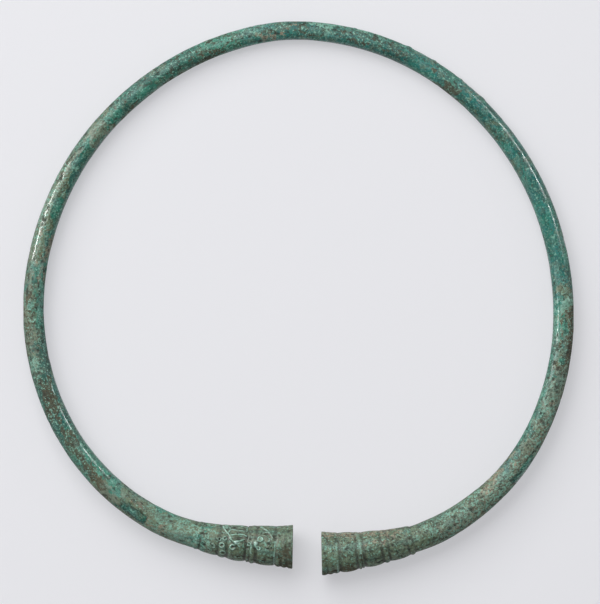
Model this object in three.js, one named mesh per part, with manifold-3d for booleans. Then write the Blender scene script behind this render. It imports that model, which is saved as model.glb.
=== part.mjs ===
import * as THREE from "three";
import { mergeVertices } from "three/addons/utils/BufferGeometryUtils.js";
import Module from "manifold-3d";

// A bronze neck ring, cast in one piece: a round bar bent into an open hoop, which thickens
// towards the front and ends in two moulded terminals with flat round faces.
// Millimetres, +Z up. It lies flat, the opening towards -Y and the back of the neck towards +Y.

// Hoop
const ringRadius = 72.5; // from the middle of the hoop to the middle of the bar
const gap = 7.8; // between the two end faces
const gapOffset = 2.3; // of the gap's middle, towards +X
const backThickness = 4.95; // of the bar at the back of the neck
const sideThickness = 5.5; // over the shoulders
const frontThickness = 6.1; // where the bar begins to swell into the terminals

// The bar wanders off the true circle: bearings clockwise from the back of the neck, in degrees,
// and how far the bar's middle lies outside the circle there.
const outOfRound = [
  [-186, -3.7],
  [-172, -3.4],
  [-160, -1.7],
  [-148, 0.2],
  [-125, 1.4],
  [-100, 0.7],
  [-70, -1.1],
  [-40, -1.5],
  [-16, -0.5],
  [-4, 0.2],
  [10, -0.1],
  [58, -1.4],
  [85, -0.5],
  [110, 1.7],
  [128, 3.0],
  [142, 2.6],
  [152, 1.7],
  [165, -0.5],
  [186, -2.5],
];

// Terminals: the drum at the end, and the mouldings behind it in order from the drum to the hoop.
// Each has its length along the bar, its thickness over the crown, the depth of the groove on
// either side of it, and how square its shoulders are.
const leftTerminal = {
  drum: { length: 4.7, faceThickness: 12.0, backThickness: 10.95 },
  mouldings: [
    { name: "first bulb", length: 5.6, thickness: 10.7, groove: 0.42, shoulder: 3.2 },
    { name: "first ring", length: 1.6, thickness: 10.3, groove: 0.32, shoulder: 2 },
    { name: "fillet", length: 0.8, thickness: 9.8, groove: 0.22, shoulder: 2 },
    { name: "second bulb", length: 5.4, thickness: 9.7, groove: 0.4, shoulder: 3.2 },
    { name: "second ring", length: 2.1, thickness: 8.95, groove: 0.32, shoulder: 2 },
    { name: "tapered length", length: 5.2, thickness: 8.15, groove: 0.3, shoulder: 3.2 },
    { name: "third ring", length: 1.6, thickness: 7.6, groove: 0.25, shoulder: 2 },
  ],
  neckThickness: 7.2,
};
const rightTerminal = {
  drum: { length: 4.75, faceThickness: 12.0, backThickness: 10.95 },
  mouldings: [
    { name: "first bulb", length: 5.0, thickness: 10.8, groove: 0.42, shoulder: 3.2 },
    { name: "first ring", length: 0.95, thickness: 10.25, groove: 0.32, shoulder: 2 },
    { name: "fillet", length: 0.65, thickness: 9.9, groove: 0.22, shoulder: 2 },
    { name: "second bulb", length: 5.4, thickness: 9.7, groove: 0.4, shoulder: 3.2 },
    { name: "second ring", length: 1.5, thickness: 8.95, groove: 0.32, shoulder: 2 },
    { name: "tapered length", length: 5.5, thickness: 8.4, groove: 0.3, shoulder: 3.2 },
    { name: "third ring", length: 1.45, thickness: 7.95, groove: 0.25, shoulder: 2 },
  ],
  neckThickness: 7.6,
};
const drumRibs = 3; // rounded ribs along the drum
const drumRibDepth = 0.16;
const rimBevel = 0.25; // worn edge of the end face
const innerWear = 0.7; // share of the mouldings that the neck has rubbed off the inner side

// Relief on top of the left terminal: worn pellets and the ridges that curl between them. Each
// place is the moulding that it lies on, the share of that moulding's length away from the end,
// and the angle round the bar in degrees, from straight up towards the outer side.
const pelletWidth = 1.5;
const pelletHeight = 0.3;
const pellets = [
  ["first bulb", 0.77, -14],
  ["first bulb", 0.75, 16],
  ["first bulb", 0.98, 2],
  ["second bulb", 0.48, 0],
  ["second bulb", 0.72, 16],
  ["second ring", 0.57, 7],
  ["second ring", 0.67, 37],
  ["tapered length", 0.08, -8],
  ["tapered length", 0.4, 20],
];
const ridgeWidth = 0.9;
const ridgeHeight = 0.28;
const ridges = [
  [
    ["second ring", 0.52, -62],
    ["second ring", 0.14, -42],
    ["second bulb", 0.87, -24],
    ["second bulb", 0.65, -12],
    ["second bulb", 0.35, -8],
    ["second bulb", 0.13, -14],
  ],
  [
    ["second bulb", 0.87, -24],
    ["second bulb", 0.69, -38],
    ["second bulb", 0.46, -43],
    ["second bulb", 0.2, -38],
    ["second bulb", 0.06, -28],
  ],
  [
    ["first bulb", 0.84, -66],
    ["first bulb", 0.55, -50],
    ["first bulb", 0.3, -36],
    ["first bulb", 0.16, -24],
  ],
  [
    ["first bulb", 0.88, -34],
    ["first bulb", 0.59, -30],
    ["first bulb", 0.38, -22],
    ["first bulb", 0.3, -8],
    ["first bulb", 0.45, 6],
  ],
];

// Surface
const sides = 24; // facets round the bar
const hoopStep = 5.8; // between the stations along the plain hoop
const longMoulding = 4; // a moulding longer than this takes more stations
const patina = new THREE.MeshStandardMaterial({ color: 0x5b7f70, roughness: 0.6, metalness: 0.25 });

const { degToRad, radToDeg, lerp } = THREE.MathUtils;

const offTheCircle = new THREE.CubicInterpolant(
  outOfRound.map(([bearing]) => bearing),
  outOfRound.map(([, offset]) => offset),
  1,
);

// Distance from the middle of the hoop to the middle of the bar.
function radiusAt(bearing) {
  return ringRadius + offTheCircle.evaluate(bearing)[0];
}

// Where an end face cuts the middle line: side -1 is the left terminal, 1 the right.
function endBearing(side) {
  const across = gapOffset + (side * gap) / 2;
  const rounds = 20;
  let bearing = side * 180;
  for (let i = 0; i < rounds; i++) {
    bearing = side * 180 - radToDeg(Math.asin(across / radiusAt(bearing)));
  }
  return bearing;
}

// The bar's middle line, clockwise from the left end face to the right one.
class MiddleLine extends THREE.Curve {
  constructor() {
    super();
    this.first = endBearing(-1);
    this.last = endBearing(1);
    this.arcLengthDivisions = 2000;
  }

  getPoint(t, target = new THREE.Vector3()) {
    const bearing = lerp(this.first, this.last, t);
    const turn = degToRad(bearing);
    const radius = radiusAt(bearing);
    return target.set(radius * Math.sin(turn), radius * Math.cos(turn), 0);
  }
}

const line = new MiddleLine();
const barLength = line.getLength();

function terminalLength({ drum, mouldings }) {
  return mouldings.reduce((sum, moulding) => sum + moulding.length, drum.length);
}

// Thickness of the hoop at a distance from the end face of the terminal on its side. It is
// known at four places, given as shares of the way from the back to the terminal.
function hoopThickness(terminal, fromFace) {
  const places = [0, 0.55, 0.82, 1];
  const known = [backThickness, sideThickness, frontThickness, terminal.neckThickness];
  const fromBack = (barLength / 2 - fromFace) / (barLength / 2 - terminalLength(terminal));
  return new THREE.CubicInterpolant(places, known, 1).evaluate(fromBack)[0];
}

// Stations along one terminal, from its end face: how far each lies from the face, the bar's
// radius over its mouldings, and the plain radius that they are cut into.
function terminalStations(terminal) {
  const { drum, mouldings, neckThickness } = terminal;
  const crownAt = [0, drum.length];
  const crown = [drum.faceThickness / 2, drum.backThickness / 2];
  let reached = drum.length;
  for (const { length, thickness } of mouldings) {
    crownAt.push(reached + length / 2);
    crown.push(thickness / 2);
    reached += length;
  }
  crownAt.push(reached);
  crown.push(neckThickness / 2);
  const plain = new THREE.LinearInterpolant(crownAt, crown, 1);

  const stations = [];
  const add = (fromFace, depth) => {
    const smooth = plain.evaluate(fromFace)[0];
    stations.push({ fromFace, smooth, moulded: smooth - depth });
  };

  const faceRadius = crown[0] - rimBevel;
  stations.push({ fromFace: 0, smooth: faceRadius, moulded: faceRadius });
  add(rimBevel, 0);
  const stepsToARib = 4;
  const drumSteps = drumRibs * stepsToARib;
  for (let i = 1; i < drumSteps; i++) {
    const share = i / drumSteps;
    const crest = Math.abs(Math.sin(share * drumRibs * Math.PI));
    add(lerp(rimBevel, drum.length, share), drumRibDepth * (1 - crest));
  }
  let start = drum.length;
  for (const { length, groove, shoulder } of mouldings) {
    const steps = length > longMoulding ? 6 : 4;
    for (let i = 0; i < steps; i++) {
      const share = (1 - Math.cos((i / steps) * Math.PI)) / 2;
      add(start + share * length, groove * Math.abs(2 * share - 1) ** shoulder);
    }
    start += length;
  }
  add(start, mouldings.at(-1).groove);
  return stations;
}

// All stations along the bar, from the left end face to the right one.
function barStations() {
  const left = terminalStations(leftTerminal).map((station) => ({
    ...station,
    along: station.fromFace,
  }));
  const right = terminalStations(rightTerminal).map((station) => ({
    ...station,
    along: barLength - station.fromFace,
  }));
  const from = terminalLength(leftTerminal);
  const to = barLength - terminalLength(rightTerminal);
  const steps = Math.round((to - from) / hoopStep);
  const hoop = [];
  for (let i = 1; i < steps; i++) {
    const along = lerp(from, to, i / steps);
    const thickness =
      along < barLength / 2
        ? hoopThickness(leftTerminal, along)
        : hoopThickness(rightTerminal, barLength - along);
    hoop.push({ along, smooth: thickness / 2, moulded: thickness / 2 });
  }
  return [...left, ...hoop, ...right.reverse()];
}

const stations = barStations();

// Radius of the bar at a place round it, where outward is 1 on the outer side and -1 on the
// inner side, which is worn.
function wornRadius({ smooth, moulded }, outward) {
  return lerp(moulded, smooth, (innerWear * (1 - outward)) / 2);
}

// The bar's own directions at a distance along it.
function barFrame(along) {
  const share = THREE.MathUtils.clamp(along / barLength, 0, 1);
  const up = new THREE.Vector3(0, 0, 1);
  const outward = up.clone().cross(line.getTangentAt(share));
  return { middle: line.getPointAt(share), up, outward };
}

// The straight bar, turned as on a lathe and then bent along its middle line.
function bentBar() {
  const profile = stations.map(({ along, moulded }) => new THREE.Vector2(moulded, along));
  profile.unshift(new THREE.Vector2(0, 0));
  profile.push(new THREE.Vector2(0, barLength));
  const halfFacet = Math.PI / sides; // leaves a flat facet on top and one underneath
  const bar = new THREE.LatheGeometry(profile, sides, halfFacet);
  const position = bar.getAttribute("position");
  const vertex = new THREE.Vector3();
  for (let i = 0; i < position.count; i++) {
    vertex.fromBufferAttribute(position, i);
    const { middle, outward, up } = barFrame(vertex.y);
    const station = stations[(i % profile.length) - 1];
    const turned = Math.hypot(vertex.x, vertex.z);
    if (station && turned > 0) {
      const worn = wornRadius(station, -vertex.x / turned) / turned;
      vertex.x *= worn;
      vertex.z *= worn;
    }
    middle.addScaledVector(outward, -vertex.x).addScaledVector(up, vertex.z);
    position.setXYZ(i, middle.x, middle.y, middle.z);
  }
  return bar;
}

// Distance from the left end face to a share of the length of one of its mouldings.
function alongLeft(name, share) {
  const { drum, mouldings } = leftTerminal;
  const index = mouldings.findIndex((moulding) => moulding.name === name);
  const start = mouldings.slice(0, index).reduce((sum, { length }) => sum + length, drum.length);
  return start + share * mouldings[index].length;
}

// A point on or above the surface of the left terminal, and the direction away from the bar there.
function surfacePoint([moulding, shareAlong, around], height) {
  const along = alongLeft(moulding, shareAlong);
  const { middle, outward, up } = barFrame(along);
  const after = Math.max(stations.findIndex((station) => station.along > along), 1);
  const before = stations[after - 1];
  const share = (along - before.along) / (stations[after].along - before.along);
  const side = Math.sin(degToRad(around));
  const away = up.multiplyScalar(Math.cos(degToRad(around))).addScaledVector(outward, side);
  const radius = lerp(wornRadius(before, side), wornRadius(stations[after], side), share);
  return { point: middle.addScaledVector(away, radius + height), away };
}

// A low round boss, sunk to half of its depth in the bar.
function pellet(place) {
  const around = 8;
  const down = 6;
  const boss = new THREE.SphereGeometry(pelletWidth / 2, around, down);
  boss.scale(1, (2 * pelletHeight) / pelletWidth, 1);
  const { point, away } = surfacePoint(place, 0);
  boss.applyQuaternion(new THREE.Quaternion().setFromUnitVectors(new THREE.Vector3(0, 1, 0), away));
  return boss.translate(point.x, point.y, point.z);
}

// A ridge with a rounded back that follows the surface through the given places.
function ridge(places) {
  const corners = 6;
  const stepsToAPlace = 2;
  const section = new THREE.Shape();
  for (let i = 0; i < corners; i++) {
    const turn = ((i + 0.5) / corners) * 2 * Math.PI;
    section[i ? "lineTo" : "moveTo"]((ridgeWidth / 2) * Math.cos(turn), (ridgeWidth / 2) * Math.sin(turn));
  }
  const sunk = ridgeHeight - ridgeWidth / 2;
  const path = new THREE.CatmullRomCurve3(places.map((place) => surfacePoint(place, sunk).point));
  return new THREE.ExtrudeGeometry(section, {
    extrudePath: path,
    steps: stepsToAPlace * places.length,
  });
}

const wasm = await Module();
wasm.setup();

function solid(geometry) {
  const bare = geometry.index ? geometry.toNonIndexed() : geometry.clone();
  bare.deleteAttribute("normal");
  bare.deleteAttribute("uv");
  const merged = mergeVertices(bare, 1e-3);
  return new wasm.Manifold(
    new wasm.Mesh({
      numProp: 3,
      vertProperties: merged.getAttribute("position").array,
      triVerts: new Uint32Array(merged.index.array),
    }),
  );
}

function geometryOf(joined) {
  const { numProp, vertProperties, triVerts } = joined.getMesh();
  const position = new Float32Array((vertProperties.length / numProp) * 3);
  for (let i = 0; i < position.length / 3; i++) {
    position.set(vertProperties.subarray(i * numProp, i * numProp + 3), i * 3);
  }
  const geometry = new THREE.BufferGeometry();
  geometry.setAttribute("position", new THREE.BufferAttribute(position, 3));
  geometry.setIndex(new THREE.BufferAttribute(triVerts, 1));
  geometry.computeVertexNormals();
  return geometry;
}

const relief = [...pellets.map(pellet), ...ridges.map(ridge)];
const casting = relief.reduce((whole, form) => whole.add(solid(form)), solid(bentBar()));

const torc = new THREE.Mesh(geometryOf(casting), patina);
torc.name = "torc";

// It rests on the undersides of both drums and on the back of the hoop, which is thinner, so the
// hoop slopes down a little towards the back.
const reach = radiusAt(0) - radiusAt(180) * Math.cos(Math.PI);
torc.rotation.x = -Math.asin((leftTerminal.drum.faceThickness - backThickness) / 2 / reach);
const box = new THREE.Box3().setFromObject(torc, true);
const middle = box.getCenter(new THREE.Vector3());
torc.position.set(-middle.x, -middle.y, -box.min.z);

const neckRing = new THREE.Group();
neckRing.add(torc);
export default neckRing;
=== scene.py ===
import math
from bisect import bisect

import bpy
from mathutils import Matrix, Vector, noise


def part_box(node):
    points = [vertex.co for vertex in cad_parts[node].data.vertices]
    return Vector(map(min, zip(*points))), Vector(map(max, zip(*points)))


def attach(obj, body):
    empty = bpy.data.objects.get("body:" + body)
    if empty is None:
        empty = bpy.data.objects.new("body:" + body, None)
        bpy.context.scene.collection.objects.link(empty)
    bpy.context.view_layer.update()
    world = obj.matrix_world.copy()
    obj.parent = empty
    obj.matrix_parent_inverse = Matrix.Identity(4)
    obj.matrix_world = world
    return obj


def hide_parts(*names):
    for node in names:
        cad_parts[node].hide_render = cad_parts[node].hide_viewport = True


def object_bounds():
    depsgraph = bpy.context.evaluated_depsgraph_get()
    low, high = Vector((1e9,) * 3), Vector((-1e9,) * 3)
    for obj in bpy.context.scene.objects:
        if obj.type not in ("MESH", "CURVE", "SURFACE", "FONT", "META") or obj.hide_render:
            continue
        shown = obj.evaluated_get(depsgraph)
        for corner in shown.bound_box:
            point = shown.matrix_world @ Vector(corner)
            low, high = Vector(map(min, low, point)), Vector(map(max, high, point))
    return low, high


mm = 0.001  # lengths in the dictionaries are in millimetres, the scene is in metres

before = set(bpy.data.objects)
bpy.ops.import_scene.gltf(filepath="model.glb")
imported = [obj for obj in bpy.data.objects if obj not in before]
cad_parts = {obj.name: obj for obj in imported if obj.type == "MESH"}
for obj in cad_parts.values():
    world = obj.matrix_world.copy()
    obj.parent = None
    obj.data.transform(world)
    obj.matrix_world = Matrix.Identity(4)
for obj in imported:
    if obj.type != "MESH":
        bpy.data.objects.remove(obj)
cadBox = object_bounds()
print("frame loaded")

# Camera: straight down on the ring, as in the photo
photo = {
    "pixelsWide": 600,
    "pixelsHigh": 604,
    "pixelSize": 0.27422,  # one pixel on the ring
    "middle": (0.41, -1.1),  # what lies in the middle of the picture
    "focusHeight": 3.5,  # middle of the bar above the floor
    "lens": 300,
    "sensor": 36,
}


def addCamera():
    bpy.ops.object.camera_add()
    camera = bpy.context.object
    camera.name = "camera"
    camera.data.lens = photo["lens"]
    camera.data.sensor_width = photo["sensor"]
    longSide = max(photo["pixelsWide"], photo["pixelsHigh"]) * photo["pixelSize"]
    distance = longSide * photo["lens"] / photo["sensor"]
    across, up = photo["middle"]
    camera.location = (across * mm, up * mm, (photo["focusHeight"] + distance) * mm)
    bpy.context.scene.camera = camera


addCamera()

# Shape of the ring, the same sizes as its solid, and the ornament of its left terminal
ring = {
    "radius": 72.5,
    "gap": 7.8,
    "gapOffset": 2.3,
    "backThickness": 4.95,
    "sideThickness": 5.5,
    "frontThickness": 6.1,
    "thicknessPlaces": (0, 0.55, 0.82, 1),  # of these three and the neck, from the back to a terminal
    # bearing clockwise from the back of the neck, and how far the bar lies outside the circle
    "outOfRound": [
        (-186, -3.7), (-172, -3.4), (-160, -1.7), (-148, 0.2), (-125, 1.4), (-100, 0.7), (-70, -1.1),
        (-40, -1.5), (-16, -0.5), (-4, 0.2), (10, -0.1), (58, -1.4), (85, -0.5), (110, 1.7), (128, 3.0),
        (142, 2.6), (152, 1.7), (165, -0.5), (186, -2.5),
    ],
    "leftTerminal": {
        "drum": (4.7, 12.0, 10.95),  # length, thickness at the end face and at the back
        # name, length, thickness over the crown, depth of its grooves, squareness of its shoulders
        "mouldings": [
            ("firstBulb", 5.6, 10.7, 0.42, 3.2),
            ("firstRing", 1.6, 10.3, 0.32, 2),
            ("fillet", 0.8, 9.8, 0.22, 2),
            ("secondBulb", 5.4, 9.7, 0.4, 3.2),
            ("secondRing", 2.1, 8.95, 0.32, 2),
            ("taperedLength", 5.2, 8.15, 0.3, 3.2),
            ("thirdRing", 1.6, 7.6, 0.25, 2),
        ],
        "neckThickness": 7.2,
    },
    "rightTerminal": {
        "drum": (4.75, 12.0, 10.95),
        "mouldings": [
            ("firstBulb", 5.0, 10.8, 0.42, 3.2),
            ("firstRing", 0.95, 10.25, 0.32, 2),
            ("fillet", 0.65, 9.9, 0.22, 2),
            ("secondBulb", 5.4, 9.7, 0.4, 3.2),
            ("secondRing", 1.5, 8.95, 0.32, 2),
            ("taperedLength", 5.5, 8.4, 0.3, 3.2),
            ("thirdRing", 1.45, 7.95, 0.25, 2),
        ],
        "neckThickness": 7.6,
    },
    "drumRibs": 3,
    "drumRibDepth": 0.28,
    "rimBevel": 0.38,
    "innerWear": 0.7,  # share of the mouldings' depth that is worn off on the inner side
    "skin": -0.1,  # how far the skin lies inside the solid's outline, or below nought outside it
    # fineness of the mesh
    "lineSteps": 1200,
    "sides": 60,
    "hoopStep": 5.0,
    "hoopCuts": 12,  # between two stations of the hoop
    "terminalStep": 0.28,
    "endRings": (0.5, 0.6, 0.9, 1.2, 1.3),  # insets on the end faces, from the rim to the middle
    "ornamentZone": (4.9, 25.2, -75, 62),  # finer faces: from and to along the bar, from and to round it
    # Worn ornament of the left terminal. Places are (distance from the end face, degrees round the bar
    # from the top towards the outer side).
    "ridgeWidth": 0.32,
    "ridgeSharpness": 2,
    "ringDotWidth": 0.2,
    "dotShare": 0.45,  # size of the dot in its ring
    "bossSharpness": 1.6,
    "ornamentWobble": 0.07,
    "ornamentWobbleSize": 1.1,
    "ornamentFade": (6, 4),  # degrees outside and inside the border of the zone
    "reliefGain": 1.15,
    "reliefWear": 0.3,
    "reliefWearSize": 0.8,
    # height, then the places that the ridge runs through
    "ridges": [
        (0.3, [(19.9, -68), (19.5, -48), (18.6, -35), (17.5, -22), (17.1, -11), (16.2, -4), (14.8, -7),
               (13.5, -14)]),
        (0.26, [(17.5, -24), (16.4, -27), (15.2, -30), (13.9, -30), (13.0, -26)]),
        (0.22, [(19.9, -68), (18.4, -66), (17.7, -56), (17.6, -44), (17.9, -36)]),
        (0.18, [(17.4, -62), (15.2, -70), (13.0, -64), (12.9, -46), (15.2, -43), (17.4, -48)]),
        (0.2, [(9.4, -66), (7.8, -54), (6.4, -38), (5.6, -24)]),
        (0.12, [(9.6, -34), (8.0, -31), (6.6, -22), (6.2, -8), (7.0, 6)]),
        (0.2, [(8.3, -40), (7.2, -44), (5.9, -32)]),
    ],
    # ring-and-dot marks: place, radius of the ring, height of the ring, height of the dot
    "ringDots": [
        (14.5, 4, 0.45, 0.2, 0.16), (16.4, 14, 0.62, 0.3, -0.16), (19.3, 14, 0.58, 0.26, -0.1),
        (18.8, 42, 0.66, 0.22, -0.12), (21.7, 25, 0.62, 0.18, -0.14), (24.4, 22.5, 0.36, 0.12, -0.12),
        (18.8, -11, 0.48, 0.18, -0.16), (20.2, -6, 0.44, 0.16, -0.16), (9.0, -19, 0.62, 0.28, 0.2),
        (9.3, 9, 0.42, 0.22, -0.12), (12.0, -1, 0.4, 0.2, -0.14), (22.6, 44, 0.4, 0.12, -0.1),
    ],
    # rounded bosses: place, half length, half width, height
    "bosses": [
        (10.2, -4, 0.62, 1.05, 0.62), (15.6, -1, 0.5, 0.6, 0.46), (18.8, -56, 0.7, 0.75, 0.16),
        (15.2, -57, 1.7, 0.6, 0.14), (11.8, -44, 0.6, 0.5, 0.1), (7.9, -53, 0.7, 0.35, 0.1),
    ],
    # cut hollows, in the same form
    "hollows": [
        (14.9, -19, 1.25, 0.34, 0.2), (14.8, -36, 1.0, 0.2, 0.18), (7.2, -36, 1.1, 0.28, 0.24),
        (12.6, -20, 0.25, 0.8, 0.12), (12.4, 12, 0.25, 0.9, 0.12), (20.7, -14, 0.3, 0.3, 0.12),
    ],
}
leftTerminal, rightTerminal = ring["leftTerminal"], ring["rightTerminal"]


# Value of a table of (place, value) pairs, on straight lines between them
def straightValue(table, place):
    if place <= table[0][0]:
        return table[0][1]
    for (a, low), (b, high) in zip(table, table[1:]):
        if place <= b:
            return low + (high - low) * (place - a) / (b - a)
    return table[-1][1]


# Value of the same kind of table, on a smooth curve through all of its pairs
def smoothValue(table, place):
    slopes = [(high - low) / (b - a) for (a, low), (b, high) in zip(table, table[1:])]
    leaning = [slopes[0]] + [(s + t) / 2 for s, t in zip(slopes, slopes[1:])] + [slopes[-1]]
    place = min(max(place, table[0][0]), table[-1][0])
    i = min(max(bisect([at for at, _ in table], place) - 1, 0), len(slopes) - 1)
    (a, low), (b, high) = table[i], table[i + 1]
    t = (place - a) / (b - a)
    rise = high - low
    enter, leave = leaning[i] * (b - a), leaning[i + 1] * (b - a)
    return low + enter * t + (3 * rise - 2 * enter - leave) * t**2 + (enter + leave - 2 * rise) * t**3


def lineRadius(bearing):
    return ring["radius"] + smoothValue(ring["outOfRound"], bearing)


# Bearing of an end face: side is -1 for the left one and 1 for the right one
def endBearing(side):
    across = ring["gapOffset"] + side * ring["gap"] / 2
    bearing = side * 180
    for _ in range(20):  # it settles within a few rounds
        bearing = side * 180 - math.degrees(math.asin(across / lineRadius(bearing)))
    return bearing


# The bar's middle line as points, with the distance and the bearing at each
def measureLine():
    first, last = endBearing(-1), endBearing(1)
    count = ring["lineSteps"]
    points, travelled, bearings = [], [0.0], []
    for i in range(count + 1):
        bearing = first + (last - first) * i / count
        turn, radius = math.radians(bearing), lineRadius(bearing)
        points.append(Vector((radius * math.sin(turn), radius * math.cos(turn), 0)))
        bearings.append(bearing)
        if i:
            travelled.append(travelled[-1] + (points[-1] - points[-2]).length)
    return points, travelled, bearings


linePoints, lineTravelled, lineBearings = measureLine()
barLength = lineTravelled[-1]


def terminalLength(terminal):
    return terminal["drum"][0] + sum(length for _, length, *_ in terminal["mouldings"])


# Plain radius of the bar, and how deep its mouldings are cut there
def terminalProfile(terminal, fromFace):
    length, faceThickness, backThickness = terminal["drum"]
    crown = [(0, faceThickness / 2), (length, backThickness / 2)]
    depth = 0
    if fromFace < length:
        ribs = abs(math.sin(ring["drumRibs"] * math.pi * fromFace / length))
        depth = ring["drumRibDepth"] * (1 - ribs) if fromFace > ring["rimBevel"] else 0
    start = length
    for _, length, thickness, groove, shoulder in terminal["mouldings"]:
        crown.append((start + length / 2, thickness / 2))
        if start <= fromFace <= start + length:
            depth = groove * abs(2 * (fromFace - start) / length - 1) ** shoulder
        start += length
    crown.append((start, terminal["neckThickness"] / 2))
    return straightValue(crown, fromFace), depth


# The terminal nearer to a place, and how far its end face is
def nearest(along):
    return (leftTerminal, along) if along < barLength / 2 else (rightTerminal, barLength - along)


def barProfile(along):
    terminal, fromFace = nearest(along)
    front = terminalLength(terminal)
    if fromFace <= front:
        return terminalProfile(terminal, fromFace)
    fromBack = (barLength / 2 - fromFace) / (barLength / 2 - front)
    sizes = (ring["backThickness"], ring["sideThickness"], ring["frontThickness"], terminal["neckThickness"])
    return smoothValue(list(zip(ring["thicknessPlaces"], sizes)), fromBack) / 2, 0


def evenly(start, end, step):
    count = max(1, round((end - start) / step))
    return [start + (end - start) * i / count for i in range(count)]


# Distances from the end face at which a terminal gets a ring of points
def terminalStations(terminal):
    length = terminal["drum"][0]
    places = evenly(ring["rimBevel"], length, ring["terminalStep"])
    for _, moulding, *_ in terminal["mouldings"]:
        places += evenly(length, length + moulding, ring["terminalStep"])
        length += moulding
    return places + [length]


# Straight bar along X: its outer side is +Y and its top +Z, as it will lie once it is bent
def turnStraightBar():
    rim = [(ring["rimBevel"] * (1 - math.cos(a)), ring["rimBevel"] * (1 - math.sin(a)))
           for a in (0, math.pi / 6, math.pi / 3)]  # the rim is rounded in three steps
    left = [(fromFace, leftTerminal["drum"][1] / 2 - cut) for fromFace, cut in rim]
    right = [(barLength - fromFace, rightTerminal["drum"][1] / 2 - cut) for fromFace, cut in rim]
    leftPlaces = terminalStations(leftTerminal)
    rightPlaces = [barLength - place for place in terminalStations(rightTerminal)]
    hoopPlaces = evenly(leftPlaces[-1], rightPlaces[-1], ring["hoopStep"])[1:]
    stations = left
    for place in leftPlaces + hoopPlaces + rightPlaces[::-1]:
        plain, depth = barProfile(place)
        stations.append((place, plain - depth))
    stations += right[::-1]
    stations = [(place * mm, (radius - ring["skin"]) * mm) for place, radius in stations]

    bpy.ops.object.select_all(action="DESELECT")
    place, radius = stations[0]
    bpy.ops.mesh.primitive_circle_add(
        vertices=ring["sides"], radius=radius, fill_type="NGON", rotation=(0, math.pi / 2, 0))
    bar = bpy.context.object
    bpy.ops.object.transform_apply(location=True, rotation=True, scale=True)
    bpy.ops.object.mode_set(mode="EDIT")
    bpy.ops.mesh.select_all(action="SELECT")
    for nextPlace, nextRadius in stations[1:]:
        bpy.ops.mesh.extrude_region_move(TRANSFORM_OT_translate={"value": (nextPlace - place, 0, 0)})
        grow = nextRadius / radius
        bpy.ops.transform.resize(value=(1, grow, grow), center_override=(nextPlace, 0, 0))
        place, radius = nextPlace, nextRadius
    bpy.ops.object.mode_set(mode="OBJECT")
    return bar


def selectOnly(piece):
    bpy.ops.object.select_all(action="DESELECT")
    piece.select_set(True)
    bpy.context.view_layer.objects.active = piece


# Leaves only the wanted edges or faces selected, in edit mode
def pickEdges(piece, wanted):
    bpy.context.tool_settings.mesh_select_mode = (False, True, False)
    mesh = piece.data
    places = [v.co.copy() for v in mesh.vertices]
    mesh.vertices.foreach_set("select", [False] * len(mesh.vertices))
    mesh.polygons.foreach_set("select", [False] * len(mesh.polygons))
    mesh.edges.foreach_set("select", [wanted(*(places[v] for v in e.vertices)) for e in mesh.edges])
    bpy.ops.object.mode_set(mode="EDIT")


def pickFaces(piece, wanted):
    bpy.context.tool_settings.mesh_select_mode = (False, False, True)
    mesh = piece.data
    mesh.vertices.foreach_set("select", [False] * len(mesh.vertices))
    mesh.edges.foreach_set("select", [False] * len(mesh.edges))
    mesh.polygons.foreach_set("select", [wanted(face) for face in mesh.polygons])
    bpy.ops.object.mode_set(mode="EDIT")


torc = turnStraightBar()
torc.name = torc.data.name = "bronze_torc"
print("bar turned:", len(torc.data.polygons), "faces")


# Degrees round the straight bar, from its top towards its outer side
def aroundOf(place):
    return math.degrees(math.atan2(place.y, place.z))


# Finer faces: over the end faces, along the hoop, round the terminals and under the ornament
def refineBar(bar):
    tiny = 0.001 * mm
    pickFaces(bar, lambda face: len(face.vertices) > 4)  # the end faces
    for width in ring["endRings"]:
        bpy.ops.mesh.inset(thickness=width * mm)
    bpy.ops.object.mode_set(mode="OBJECT")

    # only the stations of the hoop lie far apart
    pickEdges(bar, lambda a, b: abs(a.x - b.x) > 4 * ring["terminalStep"] * mm)
    bpy.ops.mesh.subdivide(number_cuts=ring["hoopCuts"])
    bpy.ops.object.mode_set(mode="OBJECT")

    leftBack = terminalLength(leftTerminal) * mm + tiny
    rightBack = (barLength - terminalLength(rightTerminal)) * mm - tiny

    def roundTerminal(a, b):
        onTerminal = a.x < leftBack or a.x > rightBack
        wider = math.hypot(a.y, a.z) - math.hypot(b.y, b.z)
        return onTerminal and abs(a.x - b.x) < tiny and abs(wider) < tiny

    pickEdges(bar, roundTerminal)
    bpy.ops.mesh.subdivide(number_cuts=1, smoothness=1)
    bpy.ops.object.mode_set(mode="OBJECT")

    start, end, inner, outer = ring["ornamentZone"]

    def underOrnament(face):
        return start * mm < face.center.x < end * mm and inner < aroundOf(face.center) < outer

    pickFaces(bar, underOrnament)
    bpy.ops.mesh.subdivide(number_cuts=1)
    bpy.ops.object.mode_set(mode="OBJECT")


refineBar(torc)
print("bar refined:", len(torc.data.polygons), "faces")


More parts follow.
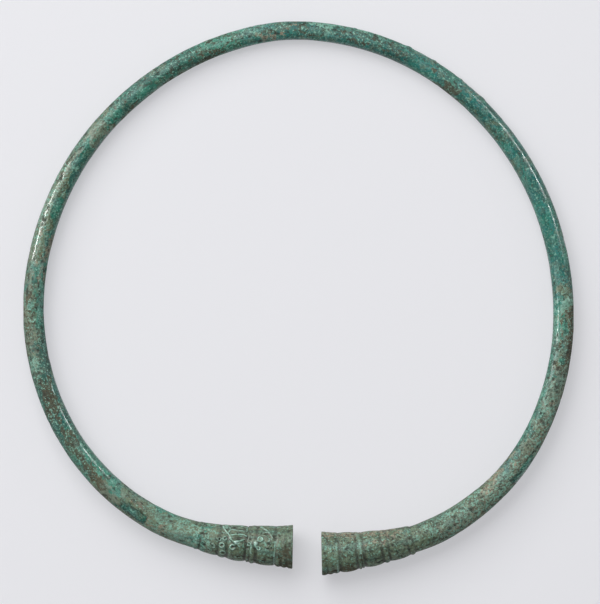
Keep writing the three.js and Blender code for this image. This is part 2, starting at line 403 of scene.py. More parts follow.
# Ageing of the surface. A patch is (bearing from, bearing to, around from, around to, strength), with
# around in degrees from the top, towards the outer side or, below nought, the inner side.
ageing = {
    "patches": {
        "olive": [
            (-181, -158, -200, 200, 0.9), (-158, -137, -100, 130, 0.75), (-139, -131, 0, 130, 0.8),
            (-104, -84, -20, 130, 0.6), (-84, -60, -20, 130, 0.75), (-66, -18, 10, 130, 0.35),
            (-66, -45, -10, 60, 0.6), (-54, -47, -60, 90, 0.6), (24, 48, 40, 130, 0.4),
            (88, 92, -10, 130, 0.85), (92, 107, 3, 130, 1.5), (107, 130, -5, 130, 0.9),
            (130, 181, -200, 200, 0.8), (-20, 18, 40, 130, 0.3), (126, 158, -90, -40, 0.5),
            (42, 62, -70, 5, 0.45), (114, 146, -30, 120, 0.9),
        ],
        "crust": [
            (-158, -146, 10, 130, 0.6), (-138.5, -131.5, 5, 120, 0.9), (-108, -79, -35, 120, 0.5),
            (-79, -62, 35, 120, 0.7), (-66, -30, 25, 120, 0.55), (-53, -48, -30, 70, 0.7),
            (-20, 18, 35, 100, 0.45), (24, 44, 45, 100, 0.5), (92.3, 105, 0, 130, 0.6),
            # (116, 150) is crust, and partly painted light on the outer flank at the lower right
            (105, 121, -25, 130, 0.85), (116, 150, -40, 120, 0.7), (155, 163, -10, 130, 0.5),
            (-170, -160, -60, 30, 0.4), (50, 58, 20, 60, 0.3), (82, 88, 15, 70, 0.45),
        ],
        "brown": [
            (-133, -108, -25, 28, 0.85), (32.5, 37.4, -85, -30, 1.0), (-50, -16, -95, -40, 0.55),
            (-137.9, -132, 0, 120, 0.4), (-98, -88, 0, 110, 0.45), (92.3, 106, 4, 120, 0.85),
            # (-180, -175), (-175, -170) and (168, 181) are brown patina, and partly painted shade on the
            # terminals' lower sides
            (-120, -114, 30, 60, 0.5), (-64, -58, -10, 30, 0.35), (-180, -175, 0, 150, 1.0),
            (-175, -170, 40, 140, 0.6), (168, 181, 35, 150, 0.7), (-26, 26, -50, 45, 0.45),
            (-104, -90, 20, 120, 0.5), (-148, -140, 60, 120, 0.3), (-4, 4, -40, 0, 0.3),
            (140, 152, 30, 100, 0.2),
        ],
        "light": [
            # (-80, -60) is pale patina, and partly painted light on the outer flank at the left
            (-133, -104, -50, 70, 0.3), (-80, -60, 5, 110, 0.55), (-48, -34, -10, 60, 0.2),
            (-17, 18, 0, 60, 0.35), (120, 123, -10, 25, 0.8), (137, 155, -70, -10, 0.55),
            (90.4, 92.4, -10, 70, 0.9), (95, 112, -85, -40, 0.7), (-176, -171, -30, 30, 0.3),
            (-169, -166, -5, 30, 0.5), (60, 92, 0, 40, 0.25), (-154, -146, -80, -30, 0.4),
            # (112, 148) is pale patina, and partly painted light on the outer flank at the lower right
            (-160, -146, -80, 80, 0.5), (112, 148, -20, 110, 0.5), (2, 18, 35, 120, 0.75),
            (-175, -163, -30, 35, 0.42), (150, 160, -50, 30, 0.3), (164, 178, -40, 40, 0.35),
            (-110, -104, -20, 60, 0.5), (-128, -124, -40, -10, 0.5),
        ],
        "tan": [
            (-87, -76, -75, -35, 0.8), (-10, -2, -55, -20, 0.6), (126, 137, -80, -35, 0.7),
            (157, 181, -95, -45, 0.8), (-150, -145, 5, 50, 0.5), (-173, -169, -60, -30, 0.4),
            (-144, -141, -60, -20, 0.4), (163, 170, -95, -50, 0.6), (108, 112, -40, -10, 0.4),
            (112, 150, -10, 100, 0.35),
        ],
        "smooth": [
            (-135, -108, -100, -12, 0.62), (-145.5, -139.5, 5, 55, 0.8), (-75, -30, -100, -15, 0.8),
            (17, 95, -100, 15, 0.8), (38, 84, 10, 60, 1.0), (95, 99, -100, -8, 0.7),
            (-30, 17, -100, -35, 0.6), (-131, -120, 20, 60, 0.5),
        ],
        # polished, but finely pitted, so that its gleams break up
        "glinting": [
            (-81, -66, 0, 65, 1.0), (-64, -60, 0, 60, 0.8), (-135, -106, -70, -5, 0.55),
            (93, 99, -70, -5, 0.7), (99, 114, -70, -5, 0.35), (-176, -163, -40, 40, 0.4),
        ],
        # fewer specks
        "calm": [
            (108, 160, -70, 110, 0.1), (-180, -158, -78, 64, 0.45), (-84, -60, -20, 120, 0.5),
            (158, 181, 20, 140, 0.5), (-158, -146, -60, 100, 0.8), (-139, -131, -20, 120, 0.9),
            (-106, -84, 10, 120, 0.6), (-66, -56, 10, 90, 0.5), (-54, -47, -40, 90, 0.5),
            (152, 163, -20, 60, 0.4), (-181, -175, 0, 150, 1.0), (-175, -172, 40, 140, 0.8),
            (176, 181, 40, 140, 0.6),
        ],
        # darker patches: dark patina, and on the terminals' lower sides (the first four) painted shade
        "dimAndShade": [
            (-181, -175.4, -20, 150, 1.0), (-175.4, -168, 35, 150, 0.55), (-168, -162, 50, 150, 0.3),
            (170, 181, 45, 150, 0.6), (-132, -110, -10, 30, 0.45), (90, 106, 70, 150, 0.4),
            (-100, -84, 40, 120, 0.3), (-50, -14, -110, -50, 0.35), (-26, 28, -100, 90, 0.36),
            (-48, -22, 10, 110, 0.35), (44, 54, -80, 0, 0.7),
        ],
        "blue": [
            (-12, 92, -110, 60, 0.7), (17, 60, -100, 0, 0.5), (-118, -108, -90, 0, 0.4),
        ],
    },
    "patchBlur": 1.7,
    "patchWobble": 3.0,
    "patchWobbleSizes": (5, 1.6),
    # flakes of smooth patina with a dark edge: bearing from, to, around from, to
    "flakes": [(-145.5, -139.8, 8, 52), (124.7, 131, 28, 82), (-134, -131.5, -70, -20)],
    "flakeEdge": 0.35,
    "flakeWobble": 0.25,
    "flakeHides": 0.95,  # share of the other patches
    "flakeLight": 0.35,
    "flakeSmooth": 0.6,
    "flakeDirt": 0.9,
    "flakeGroove": 0.04,
    # pale rings in the grooves: distance from the left or the right end face, around from, to
    "paleRings": [
        ("left", 4.95, -15, 110), ("right", 4.2, -30, 95), ("right", 10.6, -70, 10), ("left", 11.5, -10, 30),
    ],
    "paleRingWidth": 0.22,
    "paleRingReach": 1,
    "paleRingWobble": 0.05,
    "paleRingBreaks": (-2.5, 0.5),
    # lumps of corrosion: bearing, around, half length, half width, height
    "lumps": [
        (24, 82, 0.9, 0.7, 0.24), (30, 80, 0.6, 0.6, 0.22), (43, 84, 1.0, 0.6, 0.2), (37, 88, 0.5, 0.5, 0.16),
        (12, 84, 0.6, 0.6, 0.12), (91.4, 32, 0.7, 0.9, 0.22), (91.6, 8, 0.5, 0.6, 0.14),
        (-84, -76, 0.7, 0.6, 0.14), (-103.5, -82, 1.2, 0.8, -0.3), (159.8, 80, 0.8, 0.8, -0.3),
        (-147, -82, 0.9, 0.6, 0.12), (118, -70, 0.7, 0.5, 0.12),
    ],
    "lumpSharpness": 1.4,
    "lumpReach": 2.2,
    # A pair of numbers below gives where something begins and where it is full.
    # dirt, by the depth of its groove, and on the drums by how far to the outer side it lies
    "grooveDirt": (0.11, 0.23),
    "innerDirtLoss": 0.25,
    "ribDirt": (0.5, 0.95),
    "ribDirtEnd": 0.4,  # from the back of a drum
    # the ornament, by its height, with a painted glint on its highest crests
    "crestRubbed": (0.08, 0.26),
    "crestGlint": (0.34, 0.46),
    "moatDirt": 0.8,
    "moatFoot": (0.003, 0.02),
    "moatTop": (-0.1, -0.05),
    "hollowDirt": (0.0, 0.1),
    # painted shade along both sides of the bar, round their widest part
    "footShade": 0.45,
    "footPlace": (72, 88, 96, 112),  # degrees from the top where it begins, is full, fades and ends
    "footBreaks": (-2, 1.5),
    # streaks along the bar
    "streakStretch": 4,
    "shadeSize": 2.4,
    "shadeLevels": (0.02, 0.5),
    "hazeSize": 1.92,
    "hazeLevels": (0.08, 0.55),
    # corroded skin
    "bareDepth": 0.04,  # how far the skin without crust lies below it
    "crustBorder": (0.28, 0.5),
    "crustWobble": 0.3,
    "crustWobbleSize": 1.3,
    "crustGrain": 0.2,
    "crustGrainSize": 0.9,
    "dentDepth": 0.05,
    "dentSize": 7.0,
    "dentLevels": (-0.1, 0.6),
    "pitDepth": 0.11,
    "pitSize": 1.0,
    "pitAmount": 0.1,
    "pitSmoothLoss": 0.25,
    "pitLevels": (0.42, 0.75),
    # noise
    "noiseIncrement": 0.9,
    "noiseLacunarity": 2.1,
    "seedSteps": (17.3, 5.1, 9.7),
}


def steep(value, low, high):
    t = min(max((value - low) / (high - low), 0), 1)
    return t * t * (3 - 2 * t)


# Noise on the straight bar, longer along it than round it
def mottle(place, size, seed, octaves=3, stretch=1.5):
    stretched = Vector((place.x / stretch, place.y, place.z)) / (size * mm)
    shift = Vector([seed * step for step in ageing["seedSteps"]])
    return noise.fractal(stretched + shift, ageing["noiseIncrement"], ageing["noiseLacunarity"], octaves)


# Distance along the bar at a bearing
def alongAt(bearing):
    i = min(max(bisect(lineBearings, bearing), 1), len(lineBearings) - 1)
    a, b = lineBearings[i - 1], lineBearings[i]
    return lineTravelled[i - 1] + (lineTravelled[i] - lineTravelled[i - 1]) * (bearing - a) / (b - a)


# Height of the ornament at a place, above nought where it is raised
def ornamentHeight(along, around, radius):
    def apart(place):
        return along - place[0], math.radians(around - place[1]) * radius

    height = 0
    for rise, line in ring["ridges"]:
        for start, end in zip(line, line[1:]):
            x, y = apart(start)
            lengthX, lengthY = end[0] - start[0], math.radians(end[1] - start[1]) * radius
            share = min(max((x * lengthX + y * lengthY) / (lengthX**2 + lengthY**2), 0), 1)
            offLine = math.hypot(x - share * lengthX, y - share * lengthY) / ring["ridgeWidth"]
            height = max(height, rise * math.exp(-ring["ridgeSharpness"] * offLine**2))
    for *place, size, rise, dot in ring["ringDots"]:
        away = math.hypot(*apart(place))
        if away < 2 * size:
            ringRise = rise * math.exp(-((away - size) / ring["ringDotWidth"]) ** 2)
            height = max(height, ringRise) + dot * math.exp(-(away / (ring["dotShare"] * size)) ** 2)
    for sign, marks in ((1, ring["bosses"]), (-1, ring["hollows"])):
        for *place, halfLength, halfWidth, rise in marks:
            x, y = apart(place)
            away = (x / halfLength) ** 2 + (y / halfWidth) ** 2
            height += sign * rise * math.exp(-ring["bossSharpness"] * away)
    return height


# How deep inside an area of the skin a place lies, below nought outside it
def insideArea(along, around, radius, start, end, inner, outer):
    return min(along - start, end - along, math.radians(around - inner) * radius,
               math.radians(outer - around) * radius)


# How strongly each kind of patch lies on a place
def patchStrengths(along, around, radius, wobble, nearby):
    strengths = dict.fromkeys(ageing["patches"], 0)
    for kind, *area, strength in nearby:
        inside = insideArea(along, around, radius, *area)
        here = strength * steep(inside + wobble[kind], -ageing["patchBlur"], ageing["patchBlur"])
        strengths[kind] = max(strengths[kind], here)
    return strengths


# The worn ornament at a place: its height, how bare it is rubbed, and the dirt round it and in its hollows
def wornOrnament(place, along, around, radius):
    start, end, inner, outer = ring["ornamentZone"]
    outside, inside = ring["ornamentFade"]
    if not (start < along < end and inner - outside < around < outer + outside):
        return 0, 0, 0
    shift = ring["ornamentWobble"] * mottle(place, ring["ornamentWobbleSize"], seed=7)
    turn = ring["ornamentWobble"] * mottle(place, ring["ornamentWobbleSize"], seed=8)
    relief = ornamentHeight(along + shift, around + math.degrees(turn / radius), radius)
    relief *= ring["reliefGain"] + ring["reliefWear"] * mottle(place, ring["reliefWearSize"], seed=9)
    fade = steep(around, inner - outside, inner + inside) * steep(-around, -outer - outside, -outer + inside)
    # crest passes 1 on the highest relief, for the painted glint
    crest = steep(relief, *ageing["crestRubbed"]) + steep(relief, *ageing["crestGlint"])
    moat = ageing["moatDirt"] * steep(relief, *ageing["moatFoot"]) * steep(-relief, *ageing["moatTop"])
    dirt = max(moat, steep(-relief, *ageing["hollowDirt"]))
    return relief * fade, crest * fade, dirt * fade


# Works out every field of the surface on the straight bar
def surfaceFields(bar):
    patches = [(kind, alongAt(start), alongAt(end), *rest)
               for kind, several in ageing["patches"].items() for start, end, *rest in several]
    lumps = [(alongAt(bearing), *rest) for bearing, *rest in ageing["lumps"]]
    flakes = [(alongAt(start), alongAt(end), *rest) for start, end, *rest in ageing["flakes"]]
    reach = 2 * ageing["patchWobble"]
    wideSize, narrowSize = ageing["patchWobbleSizes"]
    footStart, footFull, footFading, footEnd = ageing["footPlace"]
    ribsEnd = leftTerminal["drum"][0] - ageing["ribDirtEnd"]
    names = [*ageing["patches"], "grimeAndShade", "pit", "crest", "shade", "haze"]
    fields = {name: [] for name in names}
    heights = []
    known = {}
    for vertex in bar.data.vertices:
        place = vertex.co
        along, around = place.x / mm, aroundOf(place)
        radius = math.hypot(place.y, place.z) / mm
        key = round(along, 2)
        if key not in known:
            known[key] = (barProfile(along), [p for p in patches if p[1] - reach < along < p[2] + reach])
        (plain, depth), nearby = known[key]
        wide = mottle(place, wideSize, seed=1) * ageing["patchWobble"]
        narrow = mottle(place, narrowSize, seed=2) * ageing["patchWobble"]
        wobble = {kind: wide + narrow if i % 2 else narrow - wide
                  for i, kind in enumerate(ageing["patches"])}
        here = patchStrengths(along, around, radius, wobble, nearby)

        # the grooves are worn shallow on the inner side, and the drums' ribs all but their outer side
        outward = math.sin(math.radians(around))
        onSkin = radius > 0.9 * (plain - depth)  # the end faces stay flat
        height = depth * ring["innerWear"] * (1 - outward) / 2 if onSkin else 0
        grimeAndShade = steep(depth, *ageing["grooveDirt"]) * (1 - ageing["innerDirtLoss"] * (1 - outward))
        if min(along, barLength - along) < ribsEnd:
            grimeAndShade *= steep(outward, *ageing["ribDirt"])
        relief, crest, dirt = wornOrnament(place, along, around, radius)
        height += relief
        grimeAndShade = max(grimeAndShade * (1 - crest), dirt)
        for lump, lumpAround, halfLength, halfWidth, rise in lumps:
            if abs(along - lump) < ageing["lumpReach"] * halfLength:
                x, y = along - lump, math.radians(around - lumpAround) * radius
                away = (x / halfLength) ** 2 + (y / halfWidth) ** 2
                height += rise * math.exp(-ageing["lumpSharpness"] * away)

        # dents, crust and pits of the corroded skin
        denting = mottle(place, ageing["dentSize"], seed=3)
        height -= ageing["dentDepth"] * steep(denting, *ageing["dentLevels"])
        ragged = here["crust"] + ageing["crustWobble"] * mottle(place, ageing["crustWobbleSize"], seed=4)
        grain = 1 - ageing["crustGrain"] * (1 - mottle(place, ageing["crustGrainSize"], seed=5))
        height -= ageing["bareDepth"] * (1 - steep(ragged, *ageing["crustBorder"]) * grain)
        pitting = mottle(place, ageing["pitSize"], seed=6, octaves=2)
        pitting += ageing["pitAmount"] * (1 + here["crust"]) - ageing["pitSmoothLoss"] * here["smooth"]
        pit = steep(pitting, *ageing["pitLevels"])
        height -= ageing["pitDepth"] * pit
        for area in flakes:
            if area[0] - reach < along < area[1] + reach:
                inside = insideArea(along, around, radius, *area) + ageing["flakeWobble"] * narrow
                flake = steep(inside, -ageing["flakeEdge"], ageing["flakeEdge"])
                edge = 4 * flake * (1 - flake)  # 1 on the border itself
                for kind in ("olive", "crust", "brown", "tan"):
                    here[kind] *= 1 - ageing["flakeHides"] * flake
                here["light"] = max(here["light"], ageing["flakeLight"] * flake)
                here["smooth"] = max(here["smooth"], ageing["flakeSmooth"] * flake)
                grimeAndShade = max(grimeAndShade, ageing["flakeDirt"] * edge)
                height -= ageing["flakeGroove"] * edge
        for side, fromFace, inner, outer in ageing["paleRings"]:
            apart = (along if side == "left" else barLength - along) - fromFace
            apart -= ageing["paleRingWobble"] * narrow
            if abs(apart) < ageing["paleRingReach"] and inner < around < outer:
                breaks = steep(narrow, *ageing["paleRingBreaks"])
                pale = math.exp(-((apart / ageing["paleRingWidth"]) ** 2)) * breaks
                crest = max(crest, pale)
                grimeAndShade *= 1 - pale

        # painted shade along both sides of the bar, and streaks
        footShading = steep(abs(around), footStart, footFull) * steep(-abs(around), -footEnd, -footFading)
        grimeAndShade = max(grimeAndShade, ageing["footShade"] * footShading * steep(narrow, *ageing["footBreaks"]))
        shadeNoise = mottle(place, ageing["shadeSize"], seed=11, stretch=ageing["streakStretch"])
        hazeNoise = mottle(place, ageing["hazeSize"], seed=12, stretch=ageing["streakStretch"])
        shade = steep(shadeNoise, *ageing["shadeLevels"])
        haze = steep(hazeNoise, *ageing["hazeLevels"])
        values = {**here, "grimeAndShade": grimeAndShade, "pit": pit, "crest": crest, "shade": shade, "haze": haze}
        for name in names:
            fields[name].append(values[name])
        heights.append(height)
    return fields, heights


# Writes the fields on the mesh and moves its skin out and in by them
def ageSurface(bar):
    fields, heights = surfaceFields(bar)
    for name, values in fields.items():
        attribute = bar.data.attributes.new(name, "FLOAT", "POINT")
        attribute.data.foreach_set("value", values)
    selectOnly(bar)
    for name, sign in (("raised", 1), ("sunk", -1)):
        most = max(max(sign * height for height in heights), 0.001)  # never nought, as it divides below
        group = bar.vertex_groups.new(name=name)
        for i, height in enumerate(heights):
            if sign * height > 0:
                group.add([i], sign * height / most, "REPLACE")
        push = bar.modifiers.new(name, "DISPLACE")
        push.vertex_group = name
        push.mid_level = 0
        push.strength = sign * most * mm
    for name in ("raised", "sunk"):
        bpy.ops.object.modifier_apply(modifier=name)
    bar.vertex_groups.clear()


ageSurface(torc)
print("surface aged")


# A map of the surface for baking textures: the bar in four rows, the end faces beside each other below
mapRows = {
    "name": "OFBake",
    "rows": 4,
    "margin": 1.0,
    "samples": 20,  # places in a row where the bar's thickness is looked up
    "endReach": 0.1,  # how far from the bar's ends its end faces are looked for
}


def mapSurface(bar):
    layer = bar.data.uv_layers.new(name=mapRows["name"])
    count, margin, samples = mapRows["rows"], mapRows["margin"], mapRows["samples"]
    rowLength = barLength / count
    heights = []
    for row in range(count):
        thickest = max(barProfile(rowLength * (row + i / samples))[0] for i in range(samples + 1))
        heights.append(2 * math.pi * thickest + 2 * margin)
    discs = leftTerminal["drum"][1] + 2 * margin
    size = max(rowLength + 2 * margin, sum(heights) + discs)
    bottoms = [discs + sum(heights[:row]) for row in range(count)]
    places = [v.co for v in bar.data.vertices]
    uvs = [0.0] * (2 * len(bar.data.loops))
    for face in bar.data.polygons:
        middle = face.center
        atEnd = not mapRows["endReach"] < middle.x / mm < barLength - mapRows["endReach"]
        onEndFace = atEnd and abs(face.normal.x) > 0.9
        row = min(int(middle.x / mm / rowLength), count - 1)
        faceAround = aroundOf(middle)
        for loop in face.loop_indices:
            place = places[bar.data.loops[loop].vertex_index]
            if onEndFace:
                u = discs * (1.5 if row else 0.5) + place.y / mm
                v = discs / 2 + place.z / mm
            else:
                turned = faceAround + (aroundOf(place) - faceAround + 180) % 360 - 180
                u = margin + place.x / mm - row * rowLength
                v = bottoms[row] + margin + (turned + 180) / 360 * (heights[row] - 2 * margin)
            uvs[2 * loop], uvs[2 * loop + 1] = u / size, v / size
    layer.data.foreach_set("uv", uvs)


mapSurface(torc)
print("surface mapped")


# The straight bar bent along the ring's line, tipped so that it lies on the front and the back, and set down
def bendAndLay(bar):
    curve = bpy.data.curves.new("line", "CURVE")
    curve.dimensions = "2D"
    spline = curve.splines.new("POLY")
    spline.points.add(len(linePoints) - 1)
    for point, place in zip(spline.points, linePoints):
        point.co = (place.x * mm, place.y * mm, 0, 1)
    line = bpy.data.objects.new("line", curve)
    bpy.context.collection.objects.link(line)

    selectOnly(bar)
    bend = bar.modifiers.new("bend", "CURVE")
    bend.object = line
    bend.deform_axis = "POS_X"
    bpy.ops.object.modifier_apply(modifier="bend")
    bpy.data.objects.remove(line)

    reach = lineRadius(0) + lineRadius(180)
    bar.rotation_euler.x = -math.asin((leftTerminal["drum"][1] - ring["backThickness"]) / 2 / reach)
    bpy.ops.object.transform_apply(location=True, rotation=True, scale=True)
    low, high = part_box("torc")
    places = [v.co for v in bar.data.vertices]
    for axis in (0, 1):
        ends = min(p[axis] for p in places) + max(p[axis] for p in places)
        bar.location[axis] = (low[axis] + high[axis] - ends) / 2
    bar.location.z = low[2] - min(p.z for p in places)
    bpy.ops.object.transform_apply(location=True, rotation=True, scale=True)
    # the few lumps that would reach past the solid's box are worn flat there
    for vertex in bar.data.vertices:
        for axis in range(3):
            vertex.co[axis] = min(max(vertex.co[axis], low[axis]), high[axis])
    bpy.ops.object.shade_smooth()


bendAndLay(torc)
print("ring bent and laid down")


# Patina: colours as seen on a screen
patina = {
    "teal": (68, 150, 128),
    "deepTeal": (30, 96, 84),
    "blueTeal": (38, 124, 128),
    "haze": (112, 160, 150),
    "shade": (204, 212, 207),
    "olive": (124, 137, 110),
    "darkOlive": (84, 90, 64),
    "crust": (150, 161, 142),
    "crustDark": (98, 104, 86),
    "brown": (96, 82, 60),
    "light": (140, 194, 173),
    "crest": (164, 212, 194),
    # painted glint on the highest crests
    "paintedGlint": (206, 238, 226),
    "tan": (186, 166, 142),
    "grimeAndShade": (50, 52, 40),
    "dark": (44, 54, 42),
    "pit": (40, 42, 32),
    # specks: size in millimetres, detail, and a shift that tells them apart
    "specks": {
        "broad": (16, 3, 0.0), "middle": (4.2, 4, 0.3), "middleToo": (2.94, 4, 0.9), "fine": (1.2, 3, 0.5),
        "fineToo": (1.08, 3, 1.7), "fineThree": (0.96, 3, 2.3), "grain": (0.55, 2, 0.1),
        "grainToo": (0.55, 2, 2.9), "dust": (0.4, 2, 4.1),
    },
    "speckShift": (1, 0.7, 1.3),
    "speckRoughness": 0.6,
    # two kinds of specks in one: the part that each has in it
    "mixes": {"haze": (1, 0.35), "light": (0.4, 0.6), "polish": (0.6, 0.4), "bump": (0.6, 0.4)},
    # how much specks break up the border of a patch, and between which sums it goes from none to all
    "breaking": {"olive": 1.2, "crust": 1.5, "brown": 1.8, "light": 2.6, "tan": 2.4, "dimAndShade": 1.2},
    "patchBorder": (0.38, 0.64),
    # how strongly each layer covers what lies under it
    "covers": {
        "deepSpots": 0.7, "oliveSpots": 0.55, "hazeSpots": 0.3, "olive": 0.9, "crust": 0.85, "brown": 0.8,
        "light": 0.75, "tan": 0.65, "hazeStreaks": 0.4, "shadeStreaks": 0.8, "dust": 0.6, "paleFine": 0.3,
        "paleGrain": 0.85, "darkFine": 0.6, "darkGrain": 0.9, "pit": 0.8, "pitBump": 0.5,
    },
    # between which values of its specks or its field a layer goes from none to all, or else between the
    # last two numbers
    "levels": {
        "deepTeal": (0.4, 0.62), "blueTeal": (0.42, 0.56, 0.35, 1), "deepSpots": (0.5, 0.66),
        "oliveSpots": (0.5, 0.68), "hazeSpots": (0.6, 0.5), "darkOlive": (0.44, 0.62),
        "crustDark": (0.42, 0.6), "dust": (0.46, 0.56), "paleFine": (0.56, 0.66), "paleGrain": (0.56, 0.64),
        "darkFine": (0.56, 0.64), "darkGrain": (0.56, 0.63), "wornFine": (0.36, 0.54, 0.3, 1),
        "wornGrain": (0.36, 0.56, 0.5, 1), "paintedGlint": (1.1, 1.7), "grimeAndShade": (0.25, 0.6, 0.55, 0.95),
        "dustPits": (0.38, 0.3), "crustRough": (0.2, 0.7), "polish": (0.42, 0.56), "smoothRough": (0, 0.7),
        "glintRough": (0, 0.8), "pitRough": (0, 1), "crestRough": (0.3, 1), "smoothBump": (0, 0.8, 1, 0.1),
    },
    # shares of the specks that these places lose
    "smoothEvenness": 0.45,
    "calmEvenness": 0.8,
    "smoothRoughness": 0.14,
    "wornRoughness": 0.34,
    "glintRoughness": 0.2,
    "patinaRoughness": 0.48,
    "fineRoughness": 0.12,
    "crustRoughness": 0.7,
    "pitRoughness": 0.85,
    "crestRoughness": 0.24,
    "shine": 0.5,
    "bump": 0.4,
    "bumpHeight": 0.12,
}


# A colour of the dictionary without the screen's own curve, as the shader takes it
def screenColor(name):
    return (*((c / 255 / 12.92 if c < 11 else ((c / 255 + 0.055) / 1.055) ** 2.4) for c in patina[name]), 1)


def dressInPatina(bar):
    material = bpy.data.materials.new("patinated_bronze")
    material.use_nodes = True
    tree = material.node_tree
    shader = tree.nodes["Principled BSDF"]

    def put(socket, value):
        if isinstance(value, bpy.types.NodeSocket):
            tree.links.new(value, socket)
        else:
            socket.default_value = value

    def calculate(operation, *values):
        node = tree.nodes.new("ShaderNodeMath")
        node.operation = operation
        for socket, value in zip(node.inputs, values):
            put(socket, value)
        return node.outputs["Value"]

    def ramp(value, low, high, start=0.0, end=1.0):
        node = tree.nodes.new("ShaderNodeMapRange")
        node.interpolation_type = "SMOOTHSTEP"
        for name, setting in (("Value", value), ("From Min", low), ("From Max", high),
                              ("To Min", start), ("To Max", end)):
            put(node.inputs[name], setting)
        return node.outputs["Result"]

    def blend(share, first, second, way="MIX"):
        node = tree.nodes.new("ShaderNodeMix")
        node.data_type = "RGBA"
        node.blend_type = way
        put(node.inputs["Factor"], share)
        for socket, color in ((node.inputs[6], first), (node.inputs[7], second)):  # its colour sockets
            put(socket, screenColor(color) if isinstance(color, str) else color)
        return node.outputs[2]

    def field(name):
        node = tree.nodes.new("ShaderNodeAttribute")
        node.attribute_name = name
        return node.outputs["Fac"]

    coordinates = tree.nodes.new("ShaderNodeTexCoord").outputs["Object"]

    def specks(size, detail, shift):
        mapping = tree.nodes.new("ShaderNodeMapping")
        put(mapping.inputs["Vector"], coordinates)
        mapping.inputs["Location"].default_value = [shift * part for part in patina["speckShift"]]
        node = tree.nodes.new("ShaderNodeTexNoise")
        put(node.inputs["Vector"], mapping.outputs["Vector"])
        node.inputs["Scale"].default_value = 1 / (size * mm)
        node.inputs["Detail"].default_value = detail
        node.inputs["Roughness"].default_value = patina["speckRoughness"]
        return node.outputs["Fac"]

    broad, middle, middleToo, fine, fineToo, fineThree, grain, grainToo, dust = (
        specks(*setting) for setting in patina["specks"].values())

    def both(mask, other):
        return calculate("MULTIPLY", mask, other)

    def mixed(name, first, second):
        firstPart, secondPart = patina["mixes"][name]
        return calculate("ADD", both(first, firstPart), both(second, secondPart))

    def level(name, value, *ends):
        return ramp(value, *patina["levels"][name], *ends)

    def cover(name, mask):
        return both(mask, patina["covers"][name])

    def spots(name, speck):
        return cover(name, level(name, speck))

    # how far a patch reaches, with a border broken up by specks
    def spread(name, speck):
        broken = both(calculate("SUBTRACT", speck, 0.5), patina["breaking"][name])
        return ramp(calculate("ADD", field(name), broken), *patina["patchBorder"])

    smooth = field("smooth")
    crest = field("crest")
    calm = both(field("calm"), patina["calmEvenness"])
    even = calculate("MAXIMUM", both(smooth, patina["smoothEvenness"]), calm)
    uneven = calculate("SUBTRACT", 1, calculate("MAXIMUM", even, crest))

    # the patina and its patches, each over those before it
    color = blend(level("deepTeal", broad), "teal", "deepTeal")
    color = blend(both(field("blue"), level("blueTeal", middleToo)), color, "blueTeal")
    color = blend(spots("deepSpots", middle), color, "deepTeal")
    color = blend(spots("oliveSpots", middleToo), color, "olive")
    color = blend(spots("hazeSpots", mixed("haze", middleToo, fine)), color, "haze")
    olive = blend(both(level("darkOlive", fineToo), uneven), "olive", "darkOlive")
    color = blend(cover("olive", spread("olive", middleToo)), color, olive)
    crust = blend(both(level("crustDark", fine), uneven), "crust", "crustDark")
    color = blend(cover("crust", spread("crust", fine)), color, crust)
    brown = spread("brown", fineToo)
    color = blend(cover("brown", brown), color, "brown")
    color = blend(cover("light", spread("light", mixed("light", fineThree, grain))), color, "light")
    color = blend(cover("tan", spread("tan", fineToo)), color, "tan")
    color = blend(cover("hazeStreaks", field("haze")), color, "haze")
    # darker by streaks, and by patches that are partly painted shade on the terminals' lower sides
    shade = calculate("MAXIMUM", cover("shadeStreaks", field("shade")), spread("dimAndShade", fine))
    color = blend(shade, color, "shade", "MULTIPLY")
    color = blend(spots("dust", dust), color, "shade", "MULTIPLY")

    # specks all over, fewer where the patina is smooth
    paleSpecks = calculate("MAXIMUM", spots("paleFine", fineThree), spots("paleGrain", grain))
    color = blend(both(paleSpecks, uneven), color, "light")
    darkSpecks = calculate("MAXIMUM", spots("darkFine", fineToo), spots("darkGrain", grainToo))
    color = blend(both(darkSpecks, uneven), color, "dark")

    # rubbed crests with a painted glint on the highest, dirt with painted shade along the sides, and pits
    worn = both(level("wornFine", fine), level("wornGrain", grain))
    color = blend(both(crest, worn), color, "crest")
    # painted glint: near white on the highest crests of the ornament
    color = blend(level("paintedGlint", crest), color, "paintedGlint")
    # dirt in grooves and hollows, with painted shade along both sides of the bar
    color = blend(both(field("grimeAndShade"), level("grimeAndShade", fine)), color, "grimeAndShade")
    pit = calculate("MAXIMUM", field("pit"), both(level("dustPits", dust), uneven))
    color = blend(cover("pit", pit), color, "pit")
    put(shader.inputs["Base Color"], color)

    rough = calculate("ADD", patina["patinaRoughness"], both(fine, patina["fineRoughness"]))
    rough = level("crustRough", field("crust"), rough, patina["crustRoughness"])
    polish = mixed("polish", middle, fineThree)
    polish = level("polish", polish, patina["smoothRoughness"], patina["wornRoughness"])
    rough = level("smoothRough", smooth, rough, polish)
    rough = level("glintRough", field("glinting"), rough, patina["glintRoughness"])
    rough = level("pitRough", calculate("MAXIMUM", pit, brown), rough, patina["pitRoughness"])
    rough = level("crestRough", crest, rough, patina["crestRoughness"])
    put(shader.inputs["Roughness"], rough)
    shader.inputs["Metallic"].default_value = 0
    shader.inputs["Specular IOR Level"].default_value = patina["shine"]

    # fine relief, least where the patina is smooth, but not where it glints
    bump = tree.nodes.new("ShaderNodeBump")
    relief = calculate("SUBTRACT", mixed("bump", fineThree, dust), cover("pitBump", pit))
    strength = calculate("ADD", level("smoothBump", smooth), field("glinting"))
    put(bump.inputs["Height"], both(relief, strength))
    bump.inputs["Strength"].default_value = patina["bump"]
    bump.inputs["Distance"].default_value = patina["bumpHeight"] * mm
    put(shader.inputs["Normal"], bump.outputs["Normal"])
    bar.data.materials.clear()
    bar.data.materials.append(material)


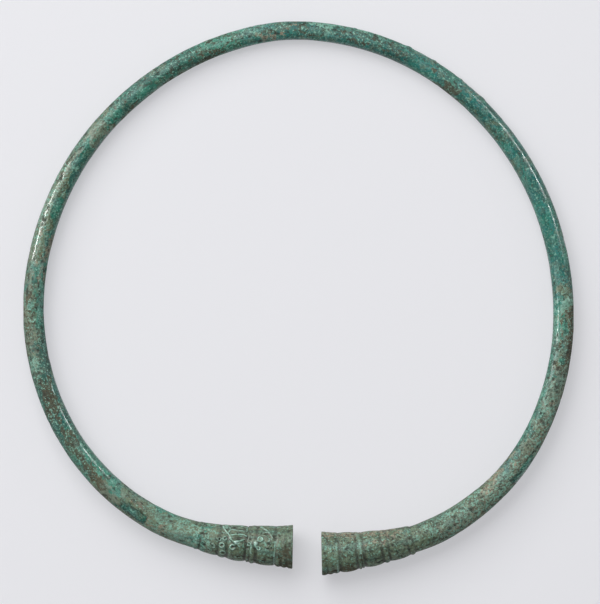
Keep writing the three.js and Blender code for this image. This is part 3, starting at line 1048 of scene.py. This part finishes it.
dressInPatina(torc)
print("patina made")

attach(torc, "root")
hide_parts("torc")


# Plain pale ground, big enough to fill every view
ground = {
    "size": 6,  # metres
    "color": (0.43, 0.43, 0.443),
    "glow": (0.41, 0.41, 0.428),  # light that comes through the pale sheet from behind
    "roughness": 0.9,
}


def addGround():
    bpy.ops.mesh.primitive_plane_add(size=ground["size"])
    floor = bpy.context.object
    floor.name = floor.data.name = "floor"
    floor.location.z = cadBox[0].z
    material = bpy.data.materials.new("paper")
    material.use_nodes = True
    shader = material.node_tree.nodes["Principled BSDF"]
    shader.inputs["Base Color"].default_value = (*ground["color"], 1)
    shader.inputs["Roughness"].default_value = ground["roughness"]
    shader.inputs["Emission Color"].default_value = (*ground["glow"], 1)
    shader.inputs["Emission Strength"].default_value = 1
    floor.data.materials.append(material)
    floor.visible_diffuse = False  # its glow would light the ring's flanks from below


addGround()
print("ground laid")

# Soft studio light: a wide lamp for the modelling, and strips whose gleams show on the smooth patina
light = {
    "distance": 1.2,
    # name, bearing clockwise from the top of the photo, degrees above the horizon, width, height, watts
    "lamps": [("key", -32, 48, 1.2, 1.2, 14.5)],
    "strips": [
        ("eastStrip", 56, 27, 0.55, 0.06, 6.5),
        ("westStrip", -72, 27, 0.55, 0.07, 11),
    ],
    "surroundings": (0.97, 0.98, 1.0),
    "surroundingsStrength": 0.27,
}


def addLamp(name, bearing, lift, wide, high, watts):
    turn, lift = math.radians(bearing), math.radians(lift)
    towards = Vector((math.sin(turn) * math.cos(lift), math.cos(turn) * math.cos(lift), math.sin(lift)))
    bpy.ops.object.light_add(type="AREA", location=towards * light["distance"])
    lamp = bpy.context.object
    lamp.name = name
    lamp.rotation_euler = towards.to_track_quat("Z", "Y").to_euler()
    lamp.data.shape = "RECTANGLE"
    lamp.data.size, lamp.data.size_y = wide, high
    lamp.data.energy = watts
    lamp.visible_camera = False
    return lamp


def addLight():
    for lamp in light["lamps"]:
        addLamp(*lamp)
    for strip in light["strips"]:
        addLamp(*strip).visible_diffuse = False
    world = bpy.data.worlds.new("surroundings")
    world.use_nodes = True
    background = world.node_tree.nodes["Background"]
    background.inputs["Color"].default_value = (*light["surroundings"], 1)
    background.inputs["Strength"].default_value = light["surroundingsStrength"]
    bpy.context.scene.world = world


addLight()
bpy.context.scene.view_settings.view_transform = "Standard"
print("lights placed")
